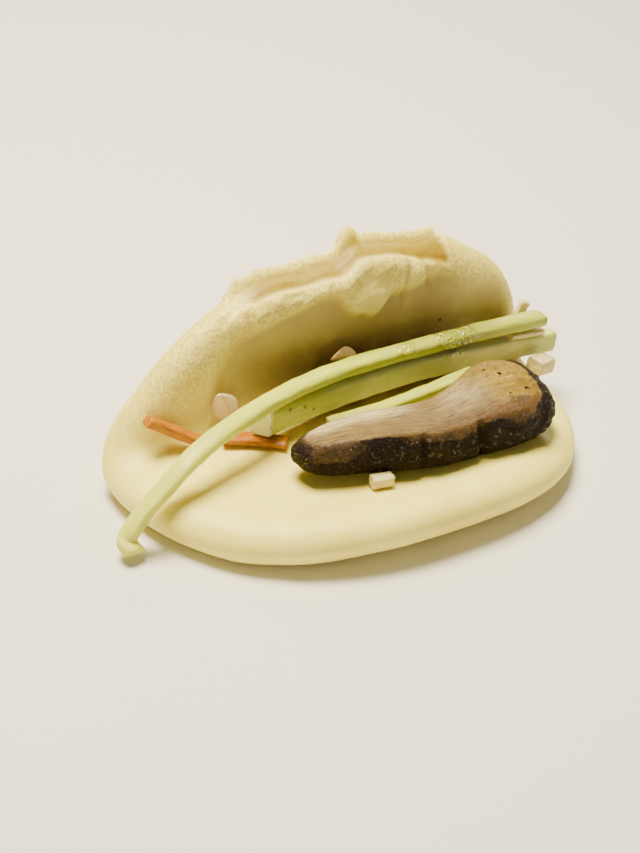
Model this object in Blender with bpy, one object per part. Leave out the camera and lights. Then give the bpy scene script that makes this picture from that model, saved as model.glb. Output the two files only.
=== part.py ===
"""A gua bao: a folded steamed bun with a pork slice, cucumber, radish, carrot and shallot.

Metres, +Z up. X runs along the fold, -Y is the open front, and Z = 0 is the table. Lengths are
written in millimetres and turned to metres where a mesh is made.
"""

import math

import bmesh
import bpy
from mathutils import Matrix, Vector

MM = 0.001

# The lengths below are measured from the fold. This moves the middle of the whole box to X = Y = 0.
TO_CENTRE = Vector((0.86, 16.33, 0.0))

# The bun: a ball of dough, rolled to an oval, folded across its middle and steamed.
HALF_WIDTH = 60.0
FRONT_LENGTH = 51.0
BACK_LENGTH = 45.0
HALF_THICKNESS = 5.4
RIM_DEPTH = 8.0
# An outline power of 2 is an ellipse; less is more pointed, more is squarer.
BACK_LEFT_POWER = 1.55
BACK_RIGHT_POWER = 2.8
FRONT_LEFT_POWER = 2.2
FRONT_RIGHT_POWER = 2.6
# How much shorter the back flap is than its outline, by place along the fold.
BACK_CUT = (
    (-56, 3.0),
    (-42, -0.9),
    (-20, 0.7),
    (-4, 4.4),
    (3, 4.4),
    (10, 1.2),
    (26, 1.6),
    (34, 0.0),
    (44, 0.9),
    (52, 0.0),
)
BUN_SEGMENTS = 96
BUN_RINGS = 32
RING_CROWDING = 1.35

# How the dough's middle surface turns from the front flap to the back flap.
FRONT_SLOPE = math.radians(0.5)
FRONT_RIM_SLOPE = math.radians(26)
BACK_SLOPE = math.radians(83)
BACK_RIM_SLOPE = math.radians(64)
FOLD_CENTRE = 3.0
FOLD_ARC = 20.0
RIM_CURL = 24.0
PRESSED_FLAT = 0.4
SIDE_WRAP = 3.0
STEP = 0.25

# The pork: a thick slice, narrow at its left tip, with a domed fat end at the right.
PORK_HALF_LENGTH = 34.6
PORK_HALF_WIDTH = 11.0
PORK_HALF_THICKNESS = 5.0
PORK_RIM = 2.6
PORK_SWELLING = 2.8
PORK_PLACE = Vector((10.0, -24.6, 16.2))
PORK_HEADING = math.radians(-2)
PORK_TILT = math.radians(2)
PORK_TWIST = math.radians(9)
PORK_SEGMENTS = 72
PORK_RINGS = 18

CUCUMBER = (0.62, 0.70, 0.25)
CARROT = (0.84, 0.30, 0.03)
RADISH = (0.82, 0.76, 0.60)
SHALLOT = (0.76, 0.52, 0.48)


def clear_scene():
    for old in list(bpy.data.objects):
        bpy.data.objects.remove(old)


def smooth(x, low, high):
    """0 below low, 1 above high, and an S curve between them."""
    t = min(max((x - low) / (high - low), 0.0), 1.0)
    return t * t * (3 - 2 * t)


def hump(x, centre, width):
    """1 at the centre, fading to nothing about two widths away."""
    return math.exp(-(((x - centre) / width) ** 2))


def between(x, table):
    """A value read from (x, value) pairs, with an S curve from one to the next."""
    for (x0, value0), (x1, value1) in zip(table, table[1:]):
        if x < x1:
            return value0 + (value1 - value0) * smooth(x, x0, x1)
    return table[-1][1]


def slope_at(length):
    """The slope of the dough's middle surface, at a length from the fold, front side negative."""
    turn = smooth(length, FOLD_CENTRE - FOLD_ARC / 2, FOLD_CENTRE + FOLD_ARC / 2)
    slope = -FRONT_SLOPE + (BACK_SLOPE + FRONT_SLOPE) * turn
    slope -= (FRONT_RIM_SLOPE - FRONT_SLOPE) * smooth(-length, FRONT_LENGTH - RIM_CURL, FRONT_LENGTH)
    slope -= (BACK_SLOPE - BACK_RIM_SLOPE) * smooth(length, BACK_LENGTH - RIM_CURL, BACK_LENGTH)
    return slope


def middle_curve():
    """(y, z) of the middle surface's section by step number, with 0 at the fold."""
    curve = {0: (0.0, 0.0)}
    for side in (-1, 1):
        y, z = curve[0]
        for i in range(1, int(1.3 * FRONT_LENGTH / STEP)):
            slope = slope_at(side * (i - 0.5) * STEP)
            y += side * STEP * math.cos(slope)
            z += side * STEP * math.sin(slope)
            curve[side * i] = (y, z)
    lift = HALF_THICKNESS - PRESSED_FLAT - min(z for y, z in curve.values())
    return {i: (y, z + lift) for i, (y, z) in curve.items()}


CURVE = middle_curve()


def section(length):
    """(y, z, slope) at a length along the section."""
    low = math.floor(length / STEP)
    share = length / STEP - low
    (y0, z0), (y1, z1) = CURVE[low], CURVE[low + 1]
    return y0 + share * (y1 - y0), z0 + share * (z1 - z0), slope_at(length)


def pressed(point, half_width, half_thickness, rim, crowding):
    """A point of the unit ball pressed to a round cake with a rounded edge.

    Gives its radius, its height, how far it is from the rim along the skin (below 0 on the upper
    face), and how far the skin there faces outward and upward.
    """
    face = half_width - rim
    quarter = math.pi * (rim + half_thickness) / 4
    share = math.acos(max(-1.0, min(1.0, point.z))) / math.pi * 2 - 1
    from_rim = math.copysign(abs(share) ** crowding, share) * (face + quarter)
    side = -1 if from_rim > 0 else 1
    if abs(from_rim) > quarter:
        radius = face * min(1.0, (face + quarter - abs(from_rim)) / face)
        return radius, side * half_thickness, from_rim, 0.0, side
    angle = abs(from_rim) / quarter * math.pi / 2
    radius = face + rim * math.cos(angle)
    return radius, side * half_thickness * math.sin(angle), from_rim, math.cos(angle), side * math.sin(angle)


def direction(point):
    """The unit vector of a ball's point, seen from above."""
    flat = math.hypot(point.x, point.y)
    return (point.x / flat, point.y / flat) if flat > 1e-9 else (1.0, 0.0)


def bun_relief(u, v, from_rim):
    """How far the steamed skin stands proud of the smooth bun."""
    proud = 0.0
    if v > 0:
        band = smooth(u, -30, -20) * (1 - smooth(u, 29, 38))
        proud += 1.6 * band * hump(from_rim, 3.0, 3.0)
        proud -= 1.3 * band * hump(from_rim, -2.2, 2.2)
        ridge = smooth(u, -52, -30) * (1 - 0.7 * smooth(u, 20, 32))
        proud += 1.3 * ridge * hump(from_rim, -8.0, 4.5)
        proud += 1.3 * hump(u, 7, 9) * hump(from_rim, -14.0, 5.0)
        proud += 2.4 * hump(u, 9.8, 2.6) * hump(from_rim, 2.0, 3.0)
        for place, width, depth in ((25, 2.6, 1.3), (33.5, 2.6, 1.0)):
            proud -= depth * hump(u, place, width) * hump(from_rim, -9.0, 6.5)
    if from_rim < 0:
        proud -= 1.6 * smooth(-from_rim, 9, 24) * smooth(v, 8, 18)
    return proud


def rolled(point):
    """A point of the unit ball moved to the rolled dough: (u, v, height)."""
    radius, height, from_rim, out, up = pressed(
        point, HALF_WIDTH, HALF_THICKNESS, RIM_DEPTH, RING_CROWDING
    )
    cx, cy = direction(point)
    if cy > 0:
        length, power = BACK_LENGTH, BACK_RIGHT_POWER if cx > 0 else BACK_LEFT_POWER
    else:
        length, power = FRONT_LENGTH, FRONT_RIGHT_POWER if cx > 0 else FRONT_LEFT_POWER
    corner = (abs(cx) ** power + abs(cy) ** power) ** (-1 / power)
    u, v = radius * corner * cx, radius * corner * cy * length / HALF_WIDTH
    v -= between(u, BACK_CUT) * smooth(v, 10, 40)
    proud = bun_relief(u, v, from_rim)
    return u + proud * out * cx, v + proud * out * cy, height + proud * up


def folded(u, v, height):
    """A point of the rolled dough moved to the folded bun, pressed flat where it stands."""
    y, z, slope = section(v)
    y -= height * math.sin(slope)
    z += height * math.cos(slope)
    end = (min(u, 0) / HALF_WIDTH) ** 2
    y -= SIDE_WRAP * end * smooth(v, 0, BACK_LENGTH)
    return Vector((u, y, max(z, 0.0)))


def mesh_object(name, bm, colour, roughness=0.5):
    """A node of the part, with its mesh in metres and a plain material."""
    bmesh.ops.translate(bm, vec=TO_CENTRE, verts=bm.verts)
    bmesh.ops.scale(bm, vec=(MM, MM, MM), verts=bm.verts)
    mesh = bpy.data.meshes.new(name)
    bm.to_mesh(mesh)
    bm.free()
    mesh.shade_smooth()
    made = bpy.data.objects.new(name, mesh)
    bpy.context.scene.collection.objects.link(made)
    material = bpy.data.materials.new(name)
    material.use_nodes = True
    shader = material.node_tree.nodes["Principled BSDF"]
    shader.inputs["Base Color"].default_value = (*colour, 1)
    shader.inputs["Roughness"].default_value = roughness
    shader.inputs["Metallic"].default_value = 0.0
    material.diffuse_color = (*colour, 1)
    mesh.materials.append(material)
    return made


def ball(segments, rings):
    bm = bmesh.new()
    bmesh.ops.create_uvsphere(bm, u_segments=segments, v_segments=rings, radius=1)
    return bm


def make_bun():
    bm = ball(BUN_SEGMENTS, BUN_RINGS)
    for vert in bm.verts:
        vert.co = folded(*rolled(vert.co))
    return mesh_object("bun", bm, (0.85, 0.78, 0.55), 0.55)


def make_pork():
    """The slice lies across the front rim, its charred edge forward and its narrow tip to the left."""
    bm = ball(PORK_SEGMENTS, PORK_RINGS)
    for vert in bm.verts:
        radius, height, from_rim, out, up = pressed(
            vert.co, PORK_HALF_WIDTH, PORK_HALF_THICKNESS, PORK_RIM, 0.8
        )
        cx, cy = direction(vert.co)
        power = 2.9 if cx > 0 else 2.6
        corner = (abs(cx) ** power + abs(cy) ** power) ** (-1 / power)
        along = radius / PORK_HALF_WIDTH * corner * cx * PORK_HALF_LENGTH
        across = radius * corner * cy
        across *= 0.74 + 0.52 * smooth(along, 4, 32)
        front = smooth(-across, 2, 8)
        crust = 0.35 * math.sin(along * 1.9) + 0.25 * math.sin(along * 3.1 + 1)
        crust -= 1.3 * hump(along, -6.5, 1.6) * front
        crust -= 1.6 * hump(along, 10, 1.8) * front
        crust *= max(out, 0.25 * smooth(abs(across), 5, 10))
        across += crust * cy
        along += crust * cx
        dome = 1.3 * hump(along, 18, 12) - 0.8 * smooth(-along, 8, 30)
        height += dome * max(up, 0)
        swollen = PORK_SWELLING * smooth(along, 2, 20) * smooth(across, -10, 8)
        height += swollen * smooth(height, -PORK_HALF_THICKNESS, PORK_HALF_THICKNESS)
        across -= 3.6 * hump(along, 0, 16)
        left = smooth(-along, -14, 22)
        tilt = PORK_TILT + PORK_TWIST * left
        y = across * math.cos(tilt) + height * math.sin(tilt)
        z = height * math.cos(tilt) - across * math.sin(tilt) + 0.7 * left
        vert.co = PORK_PLACE + Vector(
            (
                along * math.cos(PORK_HEADING) - y * math.sin(PORK_HEADING),
                along * math.sin(PORK_HEADING) + y * math.cos(PORK_HEADING),
                z,
            )
        )
    return mesh_object("pork_slice", bm, (0.28, 0.13, 0.05), 0.35)


def spline(points, count):
    """Evenly spaced points of a smooth curve through the given ones."""
    ends = [2 * points[0] - points[1], *points, 2 * points[-1] - points[-2]]
    fine = []
    for before, start, stop, after in zip(ends, ends[1:], ends[2:], ends[3:]):
        for i in range(24):
            t = i / 24
            bend = (2 * before - 5 * start + 4 * stop - after) * t * t
            twist = (3 * start - before - 3 * stop + after) * t**3
            fine.append((2 * start + (stop - before) * t + bend + twist) / 2)
    fine.append(points[-1])
    lengths = [0.0]
    for start, stop in zip(fine, fine[1:]):
        lengths.append(lengths[-1] + (stop - start).length)
    even = []
    index = 0
    for i in range(count + 1):
        wanted = lengths[-1] * i / count
        while index < len(fine) - 2 and lengths[index + 1] < wanted:
            index += 1
        share = (wanted - lengths[index]) / (lengths[index + 1] - lengths[index])
        even.append(fine[index].lerp(fine[index + 1], share))
    return even


def make_baton(name, path, wide, tall, colour, stations=12, round_power=5.0, ends=(0.0, 0.0)):
    """A cut stick along a path. wide and tall may each be one size or one for each end.

    ends slants the two cut ends: how far, in millimetres, each one's left corner, seen along the
    path, reaches further out than its middle.
    """
    wide = wide if isinstance(wide, tuple) else (wide, wide)
    tall = tall if isinstance(tall, tuple) else (tall, tall)
    line = spline([Vector(point) for point in path], stations)
    bm = bmesh.new()
    bmesh.ops.create_cube(bm, size=2)
    across = [edge for edge in bm.edges if abs(edge.verts[0].co.x - edge.verts[1].co.x) < 1]
    bmesh.ops.subdivide_edges(bm, edges=across, cuts=2, use_grid_fill=True)
    along = [edge for edge in bm.edges if abs(edge.verts[0].co.x - edge.verts[1].co.x) > 1]
    bmesh.ops.subdivide_edges(bm, edges=along, cuts=stations - 1, use_grid_fill=True)
    for vert in bm.verts:
        a, b = vert.co.y, vert.co.z
        index = round((vert.co.x + 1) / 2 * stations)
        share = index / stations
        tangent = (line[min(index + 1, stations)] - line[max(index - 1, 0)]).normalized()
        side = Vector((0, 0, 1)).cross(tangent).normalized()
        up = tangent.cross(side)
        reach = max(abs(a), abs(b)) / max((abs(a) ** round_power + abs(b) ** round_power), 1e-9) ** (
            1 / round_power
        )
        reach = reach if max(abs(a), abs(b)) > 1e-6 else 0.0
        half_wide = (wide[0] + (wide[1] - wide[0]) * share) / 2
        half_tall = (tall[0] + (tall[1] - tall[0]) * share) / 2
        vert.co = line[index] + side * (a * reach * half_wide) + up * (b * reach * half_tall)
        if index == 0:
            vert.co -= tangent * ends[0] * a
        if index == stations:
            vert.co += tangent * ends[1] * a
    return mesh_object(name, bm, colour, 0.35)


def make_petal(name, centre, size, roll, lean, heading):
    """A curved piece of one shallot layer, pointed at its far end, turned about X, Y and then Z."""
    length, width, thickness = size
    bm = ball(20, 10)
    for vert in bm.verts:
        along, across, height = vert.co.x, vert.co.y, vert.co.z
        across *= 1 - 0.45 * smooth(along, -0.2, 1.0)
        x = along * length / 2
        y = across * width / 2
        z = height * thickness / 2 + 0.22 * y * y / max(width / 4, 1) - 0.03 * x * x
        vert.co = Vector((x, y, z))
    for degrees, axis in ((roll, "X"), (-lean, "Y"), (heading, "Z")):
        turn = Matrix.Rotation(math.radians(degrees), 3, axis)
        bmesh.ops.rotate(bm, cent=(0, 0, 0), matrix=turn, verts=bm.verts)
    bmesh.ops.translate(bm, vec=centre, verts=bm.verts)
    return mesh_object(name, bm, SHALLOT, 0.3)


clear_scene()
make_bun()
make_pork()

make_baton(
    "cucumber_long",
    [
        (59.4, -3.4, 22.6),
        (38, -2.8, 22.6),
        (3, -3.4, 22.4),
        (-17, -7.0, 22.4),
        (-32, -12.0, 22.2),
        (-42, -15.5, 21.0),
        (-50, -18.2, 18.2),
        (-56.5, -19.6, 13.5),
        (-61.5, -20.0, 8.5),
        (-64.5, -21.0, 4.6),
        (-63.6, -23.6, 2.6),
    ],
    (5.0, 4.6),
    (3.8, 3.0),
    CUCUMBER,
    stations=36,
    ends=(0.8, 0.8),
)
make_baton(
    "cucumber_short",
    [(-24.5, -8.8, 16.9), (-5, -5.0, 16.5), (20, -3.0, 16.5), (45, -2.6, 15.7), (64.5, -3.2, 14.9)],
    (4.2, 4.2),
    (6.9, 5.8),
    CUCUMBER,
    stations=14,
    ends=(1.5, -0.5),
)
make_baton(
    "cucumber_strip",
    [(-8, -12.2, 13.2), (8, -12.8, 13.9), (35, -9.8, 14.1)],
    3.8,
    (4.4, 6.4),
    CUCUMBER,
    stations=8,
)
make_baton(
    "carrot_left",
    [(-50.3, -1.2, 19.6), (-43.8, -2.2, 15.7), (-38.0, -4.8, 12.8)],
    3.2,
    2.6,
    CARROT,
    stations=6,
    round_power=3,
)
make_baton(
    "carrot_right",
    [(-32.5, -4.8, 12.4), (-25.5, -7.9, 12.1), (-19.3, -12.3, 12.1)],
    4.2,
    1.9,
    CARROT,
    stations=6,
    round_power=3,
)
make_baton("radish_cube", [(55.0, -9.9, 12.9), (60.0, -8.9, 12.5)], 5.0, 4.4, RADISH, 2)
make_baton("radish_back", [(54.4, 0.33, 19.8), (57.3, 0.53, 25.8)], 1.6, 3.2, RADISH, 3)
make_baton("radish_between", [(50, -3.8, 19.7), (60.5, -3.8, 19.1)], 3.0, 1.4, RADISH, 4)
make_baton("radish_rim", [(-10.0, -34.0, 13.0), (-5.0, -34.8, 13.0)], 3.2, 2.6, RADISH, 2)
make_petal("shallot_left", (-30.4, -1.4, 18.4), (10.4, 6.4, 2.4), 80, 63, 180)
make_petal("shallot_back", (2.7, 0.6, 22.5), (7.5, 5.0, 1.8), 80, 10, 180)
make_petal("shallot_right", (50.0, -9.8, 12.3), (6.0, 4.0, 2.2), 0, 10, 20)
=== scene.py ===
# %% [markdown]
# # A gua bao
#
# An oval of steamed wheat dough is folded over a braised slice of pork belly, with sticks of cucumber and
# small pieces of carrot, radish and shallot. The lower flap lies on the table, the upper one stands up, so
# the filling shows between them. Every piece starts as one of Blender's own shapes, and its points are then
# moved the way a cook's hands and the steam would move them.

# %% Load the solids
import math

import bmesh
import bpy
from mathutils import Matrix, Vector, noise


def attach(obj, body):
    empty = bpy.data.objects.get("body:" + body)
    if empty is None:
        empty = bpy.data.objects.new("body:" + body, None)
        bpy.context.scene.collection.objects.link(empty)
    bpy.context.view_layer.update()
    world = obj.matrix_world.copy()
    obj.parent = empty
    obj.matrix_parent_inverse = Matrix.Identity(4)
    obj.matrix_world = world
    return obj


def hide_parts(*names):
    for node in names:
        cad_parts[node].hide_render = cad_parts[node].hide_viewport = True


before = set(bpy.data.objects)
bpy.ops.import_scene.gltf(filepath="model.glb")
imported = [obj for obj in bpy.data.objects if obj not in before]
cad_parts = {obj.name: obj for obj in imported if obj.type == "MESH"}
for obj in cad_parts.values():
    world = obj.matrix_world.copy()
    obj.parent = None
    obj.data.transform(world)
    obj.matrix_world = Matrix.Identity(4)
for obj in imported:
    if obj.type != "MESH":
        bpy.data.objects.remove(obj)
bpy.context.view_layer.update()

# %% [markdown]
# ## Lengths
#
# The bun is 120 mm wide, so lengths are easiest to think about in millimetres. They are measured from the
# middle of the fold, and one shift then centres the whole bun on the table.

# %% Units and the shift to the table's middle
MM = 0.001
TO_CENTRE = Vector((0.86, 16.33, 0.0))


def smooth(x, low, high):
    """0 below low, 1 above high, and an S curve between them."""
    t = min(max((x - low) / (high - low), 0.0), 1.0)
    return t * t * (3 - 2 * t)


def hump(x, centre, width):
    """1 at the centre, fading to nothing about two widths away."""
    return math.exp(-(((x - centre) / width) ** 2))


def between(x, table):
    """A value read from (x, value) pairs, with an S curve from one to the next."""
    for (x0, value0), (x1, value1) in zip(table, table[1:]):
        if x < x1:
            return value0 + (value1 - value0) * smooth(x, x0, x1)
    return table[-1][1]


def lumps(x, y, z, size, depth=2):
    """Smooth lumps between about -1 and 1, the largest of them size millimetres across."""
    return noise.fractal(Vector((x, y, z)) / size, 1.0, 2.0, depth, noise_basis="PERLIN_ORIGINAL")


# %% [markdown]
# ## Camera
#
# The bun was photographed from the front left, about a third of the way up to overhead. The lens is a short
# telephoto, which keeps the near end from looking larger than the far one. The camera's three directions are
# put straight into its matrix, so a slight roll of the hand is kept too.

# %% The camera at the photograph's angle
CAMERA_PLACE = Vector((-193.73, -272.31, 236.47)) + TO_CENTRE
CAMERA_FORWARD = Vector((0.4719, 0.6703, -0.5727)).normalized()
CAMERA_RIGHT = Vector((0.851, -0.516, 0.0972)).normalized()
FOCAL_LENGTH = 69.87


def make_camera():
    lens = bpy.data.cameras.new("camera")
    lens.lens = FOCAL_LENGTH
    lens.clip_start = 0.01
    camera = bpy.data.objects.new("camera", lens)
    bpy.context.scene.collection.objects.link(camera)
    up = CAMERA_RIGHT.cross(CAMERA_FORWARD).normalized()
    right = CAMERA_FORWARD.cross(up)
    turned = Matrix((right, up, -CAMERA_FORWARD)).transposed().to_4x4()
    camera.matrix_world = Matrix.Translation(CAMERA_PLACE * MM) @ turned
    bpy.context.scene.camera = camera


make_camera()
print("camera:", round(CAMERA_PLACE.length, 1), "mm from the bun")

# %% [markdown]
# ## Turning shapes into pieces
#
# A piece is a mesh in metres that rides on the bun and stands for one of the solids. While its points are
# being moved, each may also leave a note of where it was on the straight, uncooked piece. The materials read
# those notes, so fibres follow a bent stick and a crust follows an edge.

# %% Finish a mesh as a piece of the bun
def finish_piece(name, bm, notes, material, replaced):
    """notes maps an attribute's name to one number or one (x, y, z) for each point."""
    bmesh.ops.translate(bm, vec=TO_CENTRE, verts=bm.verts)
    bmesh.ops.scale(bm, vec=(MM, MM, MM), verts=bm.verts)
    mesh = bpy.data.meshes.new(name)
    bm.to_mesh(mesh)
    bm.free()
    mesh.shade_smooth()
    for note, values in notes.items():
        kind = "FLOAT_VECTOR" if isinstance(values[0], Vector) else "FLOAT"
        kept = mesh.attributes.new(note, kind, "POINT")
        if kind == "FLOAT":
            kept.data.foreach_set("value", values)
        else:
            kept.data.foreach_set("vector", [number for vector in values for number in vector])
    mesh.materials.append(material)
    piece = bpy.data.objects.new(name, mesh)
    bpy.context.scene.collection.objects.link(piece)
    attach(piece, "root")
    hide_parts(replaced)
    print(name, len(mesh.polygons), "faces")


def ball(segments, rings):
    bm = bmesh.new()
    bmesh.ops.create_uvsphere(bm, u_segments=segments, v_segments=rings, radius=1)
    return bm


# %% [markdown]
# ## Materials
#
# Food is never one colour. Each material below mixes a few colours by noise whose grain has a real size,
# and lets some light through the surface, because dough, fat and raw vegetables all glow a little inside.
# One small function adds a node, sets its values and joins its inputs.

# %% Nodes and colours
def linear(hex_colour):
    """An sRGB hex colour as the linear values that a shader needs."""
    channels = [int(hex_colour[i : i + 2], 16) / 255 for i in (1, 3, 5)]
    return (*[c / 12.92 if c <= 0.04045 else ((c + 0.055) / 1.055) ** 2.4 for c in channels], 1.0)


def node(tree, kind, settings=None, **inputs):
    """A new node. An input is named, or numbered as i0, i1 and so on. It is given a plain value, or
    another node's output to join to it."""
    made = tree.nodes.new(kind)
    for name, value in (settings or {}).items():
        setattr(made, name, value)
    for key, value in inputs.items():
        numbered = key[0] == "i" and key[1:].isdigit()
        socket = made.inputs[int(key[1:]) if numbered else key.replace("_", " ")]
        if isinstance(value, bpy.types.NodeSocket):
            tree.links.new(value, socket)
        else:
            socket.default_value = value
    return made


def new_material(name, **shader_values):
    """A material, its node tree and its shader, with constant values set on the shader itself."""
    material = bpy.data.materials.new(name)
    material.use_nodes = True
    tree = material.node_tree
    shader = tree.nodes["Principled BSDF"]
    for key, value in shader_values.items():
        shader.inputs[key.replace("_", " ")].default_value = value
    return material, tree, shader


def mix_colour(tree, share, first, second):
    """first where share is 0 and second where it is 1. Each is a hex colour or a node's output."""
    made = node(tree, "ShaderNodeMix", {"data_type": "RGBA"}, i0=share)
    for socket, colour in ((6, first), (7, second)):
        if isinstance(colour, str):
            made.inputs[socket].default_value = linear(colour)
        else:
            tree.links.new(colour, made.inputs[socket])
    return made.outputs[2]


def ramp(tree, value, low, high, out_low=0.0, out_high=1.0):
    """A value between low and high turned smoothly to one between out_low and out_high."""
    made = node(
        tree,
        "ShaderNodeMapRange",
        {"interpolation_type": "SMOOTHSTEP"},
        i0=value,
        i1=low,
        i2=high,
        i3=out_low,
        i4=out_high,
    )
    return made.outputs[0]


def calculate(tree, operation, first, second=0.0):
    return node(tree, "ShaderNodeMath", {"operation": operation}, i0=first, i1=second).outputs[0]


def noise_of(tree, place, size_mm, detail=3.0, roughness=0.5, stretch=(1, 1, 1), unit=1.0):
    """Noise with lumps size_mm across. unit is how many millimetres one step of place is."""
    scale = Vector(stretch) * (unit / size_mm)
    mapped = node(tree, "ShaderNodeMapping", i0=place, i3=scale)
    values = {"Scale": 1.0, "Detail": detail, "Roughness": roughness}
    return node(tree, "ShaderNodeTexNoise", i0=mapped.outputs[0], **values).outputs[0]


def attribute(tree, name, output="Fac"):
    return node(tree, "ShaderNodeAttribute", {"attribute_name": name}).outputs[output]


def bump(tree, shader, layers):
    """Joins one bump after another. A layer is (height, how high it stands in millimetres)."""
    before = None
    for height, tall_mm in layers:
        made = node(tree, "ShaderNodeBump", Height=height, Distance=tall_mm * MM, Strength=1.0)
        if before:
            tree.links.new(before, made.inputs["Normal"])
        before = made.outputs[0]
    tree.links.new(before, shader.inputs["Normal"])
    tree.links.new(before, shader.inputs["Coat Normal"])


# %% [markdown]
# ## The bun
#
# A ball of soft wheat dough is rolled to an oval, oiled, folded across its middle and steamed, which puffs
# it up and sets a thin smooth skin. The same steps make the mesh: a ball is pressed to a flat cake with a
# round edge, stretched to an oval, and its middle surface is bent along a curve. A subdivided box could be
# bent as well, but the ball has its densest points where the edge needs them.

# %% The bun's sizes
HALF_WIDTH = 60.0
FRONT_LENGTH = 51.0
BACK_LENGTH = 45.0
HALF_THICKNESS = 5.4
RIM_DEPTH = 8.0
# An outline power of 2 is an ellipse; less is more pointed, more is squarer.
BACK_LEFT_POWER = 1.55
BACK_RIGHT_POWER = 2.8
FRONT_LEFT_POWER = 2.2
FRONT_RIGHT_POWER = 2.6
BUN_SEGMENTS = 480
BUN_RINGS = 190
RING_CROWDING = 1.35
# How much shorter the back flap is than its outline, by place along the fold.
BACK_CUT = (
    (-56, 3.0),
    (-42, -0.9),
    (-20, 0.7),
    (-4, 4.4),
    (3, 4.4),
    (10, 1.2),
    (26, 1.6),
    (34, 0.0),
    (44, 0.9),
    (52, 0.0),
)

# %% [markdown]
# The fold is a curve seen from the end: nearly flat in front, a tight quarter turn, then nearly upright.
# Adding up many small steps along a changing slope gives a curve that keeps the dough's true length.

# %% The curve of the fold
FRONT_SLOPE = math.radians(0.5)
FRONT_RIM_SLOPE = math.radians(26)
BACK_SLOPE = math.radians(83)
BACK_RIM_SLOPE = math.radians(64)
FOLD_CENTRE = 3.0
FOLD_ARC = 20.0
RIM_CURL = 24.0
PRESSED_FLAT = 0.4
SIDE_WRAP = 3.0
STEP = 0.25


def slope_at(length):
    """The slope of the dough's middle surface, at a length from the fold, front side negative."""
    turn = smooth(length, FOLD_CENTRE - FOLD_ARC / 2, FOLD_CENTRE + FOLD_ARC / 2)
    slope = -FRONT_SLOPE + (BACK_SLOPE + FRONT_SLOPE) * turn
    slope -= (FRONT_RIM_SLOPE - FRONT_SLOPE) * smooth(-length, FRONT_LENGTH - RIM_CURL, FRONT_LENGTH)
    slope -= (BACK_SLOPE - BACK_RIM_SLOPE) * smooth(length, BACK_LENGTH - RIM_CURL, BACK_LENGTH)
    return slope


def middle_curve():
    """(y, z) of the middle surface's section by step number, with 0 at the fold."""
    curve = {0: (0.0, 0.0)}
    for side in (-1, 1):
        y, z = curve[0]
        for i in range(1, int(1.3 * FRONT_LENGTH / STEP)):
            slope = slope_at(side * (i - 0.5) * STEP)
            y += side * STEP * math.cos(slope)
            z += side * STEP * math.sin(slope)
            curve[side * i] = (y, z)
    lift = HALF_THICKNESS - PRESSED_FLAT - min(z for y, z in curve.values())
    return {i: (y, z + lift) for i, (y, z) in curve.items()}


CURVE = middle_curve()
print("back flap's middle rises to", round(CURVE[int(BACK_LENGTH / STEP)][1], 1), "mm")


def folded(u, v, height):
    """A point of the rolled dough moved to the folded bun, pressed flat where it stands."""
    low = math.floor(v / STEP)
    share = v / STEP - low
    (y0, z0), (y1, z1) = CURVE[low], CURVE[low + 1]
    slope = slope_at(v)
    y = y0 + share * (y1 - y0) - height * math.sin(slope)
    z = z0 + share * (z1 - z0) + height * math.cos(slope)
    y -= SIDE_WRAP * (min(u, 0) / HALF_WIDTH) ** 2 * smooth(v, 0, BACK_LENGTH)
    return Vector((u, y, max(z, 0.0)))


# %% [markdown]
# Pressing the ball keeps track of how far each point is from the rim, measured over the skin. That one
# number places everything that runs along the edge: the thin torn lip, the groove and the puffy ridge.

# %% Press a ball to a round cake
def pressed(point, half_width, half_thickness, rim, crowding):
    """Gives radius, height, distance from the rim (below 0 on the upper face), and how far out and up
    the skin faces there."""
    face = half_width - rim
    quarter = math.pi * (rim + half_thickness) / 4
    share = math.acos(max(-1.0, min(1.0, point.z))) / math.pi * 2 - 1
    from_rim = math.copysign(abs(share) ** crowding, share) * (face + quarter)
    side = -1 if from_rim > 0 else 1
    if abs(from_rim) > quarter:
        radius = face * min(1.0, (face + quarter - abs(from_rim)) / face)
        return radius, side * half_thickness, from_rim, 0.0, side
    angle = abs(from_rim) / quarter * math.pi / 2
    radius = face + rim * math.cos(angle)
    return radius, side * half_thickness * math.sin(angle), from_rim, math.cos(angle), side * math.sin(angle)


def direction(point):
    """The unit vector of a ball's point, seen from above."""
    flat = math.hypot(point.x, point.y)
    return (point.x / flat, point.y / flat) if flat > 1e-9 else (1.0, 0.0)


# %% [markdown]
# Steam leaves its marks mostly on the standing flap: a lip where two layers of skin parted, a groove behind
# it, a bright swollen ridge, and a few upright wrinkles where the skin shrank as it cooled. Each is a small
# rise or fall of the skin, given by its place along the fold and its distance from the rim.

# %% Relief of the standing flap
# The groove's lower edge and the ridge's foot: place along the fold, and distance from the rim.
GROOVE = ((-30, -1.0), (-24, -4.5), (-19, -6.8), (-7, -6.8), (6, -7.4), (20, -7.0), (27, -8.5), (34, -10.0))
RIDGE_FOOT = (
    (-60, -20.0),
    (-33, -19.0),
    (-26, -12.5),
    (-16, -15.5),
    (1, -12.0),
    (8, -24.0),
    (12, -26.0),
    (18.5, -18.5),
    (33, -12.0),
    (60, -8.0),
)
# Each wrinkle: its place along the fold, its slant, width and depth, and its middle and reach from the rim.
WRINKLES = (
    (22.0, 0.12, 0.8, 1.3, -15.0, 7.0),
    (28.2, -0.20, 0.7, 1.0, -13.0, 4.5),
    (31.6, 0.05, 1.0, 0.4, -13.0, 4.0),
)
PEAK_PLACE = 9.8


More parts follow.
